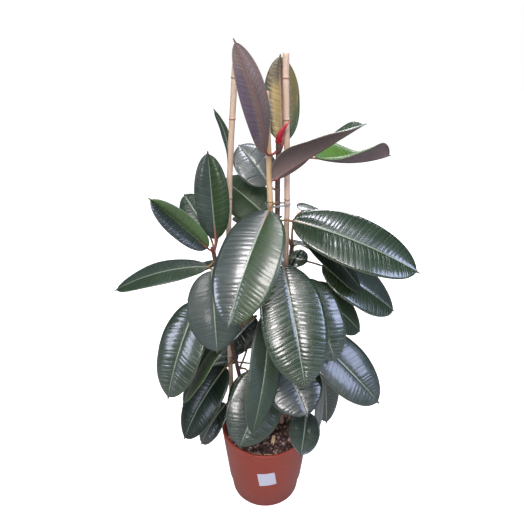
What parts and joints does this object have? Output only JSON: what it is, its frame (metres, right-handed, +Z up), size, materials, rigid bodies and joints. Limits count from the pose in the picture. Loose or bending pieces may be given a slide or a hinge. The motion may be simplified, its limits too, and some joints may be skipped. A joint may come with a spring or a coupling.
{
  "type": "potted rubber plant",
  "caption": "Bushy rubber plant with broad glossy dark leaves on upright stems, tied to bamboo canes, in a filled terracotta-coloured nursery pot",
  "frame": {"origin": "centre of the pot's underside, on the surface it stands on", "axes": "+Z up along the stems, -Y towards the side the picture was taken from, +X to the right seen from there"},
  "size_m": [0.59, 0.4512, 1.0252],
  "materials": {
    "terracotta": "satin terracotta-coloured moulded plastic",
    "label_paper": "matt white paper",
    "soil": "rough dark peat and bark compost",
    "stem_bark": "matt dark purple-brown young bark with node rings",
    "bamboo": "satin beige bamboo with brown node rings",
    "wire": "plastic-coated grey tie wire",
    "red_sheath": "glossy crimson leaf sheath",
    "leaf_young": "satin olive-gold young leaf",
    "leaf_green": "waxy, glossy blackish green upper face with a pale midrib, satin brown-mauve underside"
  },
  "bodies": {
    "root": {"pot": "terracotta", "pot_label": "label_paper", "potting_soil": "soil", "tall_stem": "stem_bark", "left_stem": "stem_bark", "back_stem": "stem_bark", "cane_left": "bamboo", "cane_middle": "bamboo", "cane_right": "bamboo", "cane_tie": "wire", "tall_sheath": "red_sheath", "tall_leaf_01": "leaf_green", "tall_leaf_02": "leaf_young", "tall_leaf_03": "leaf_green", "tall_leaf_04": "leaf_green", "tall_leaf_05": "leaf_green", "left_leaf_01": "leaf_green", "left_leaf_02": "leaf_green", "left_leaf_03": "leaf_green", "tall_leaf_06": "leaf_green", "tall_leaf_07": "leaf_green", "tall_leaf_08": "leaf_green", "back_leaf_01": "leaf_green", "back_leaf_02": "leaf_green", "back_leaf_03": "leaf_green", "tall_leaf_09": "leaf_green", "back_leaf_14": "leaf_green", "back_leaf_15": "leaf_green", "back_leaf_04": "leaf_green", "tall_leaf_12": "leaf_green", "back_leaf_16": "leaf_green", "back_leaf_05": "leaf_green", "tall_leaf_14": "leaf_green", "tall_leaf_15": "leaf_green", "left_leaf_04": "leaf_green", "left_leaf_05": "leaf_green", "left_leaf_06": "leaf_green", "left_leaf_07": "leaf_green", "left_leaf_08": "leaf_green", "left_leaf_09": "leaf_green", "left_leaf_10": "leaf_green", "left_leaf_11": "leaf_green", "back_leaf_06": "leaf_green", "back_leaf_07": "leaf_green", "tall_leaf_16": "leaf_green", "tall_leaf_17": "leaf_green", "back_leaf_08": "leaf_green", "left_leaf_12": "leaf_green", "back_leaf_09": "leaf_green", "left_leaf_13": "leaf_green", "back_leaf_10": "leaf_green", "left_leaf_14": "leaf_green", "back_leaf_11": "leaf_green", "back_leaf_12": "leaf_green", "back_leaf_13": "leaf_green", "left_leaf_15": "leaf_green"}
  },
  "joints": []
}
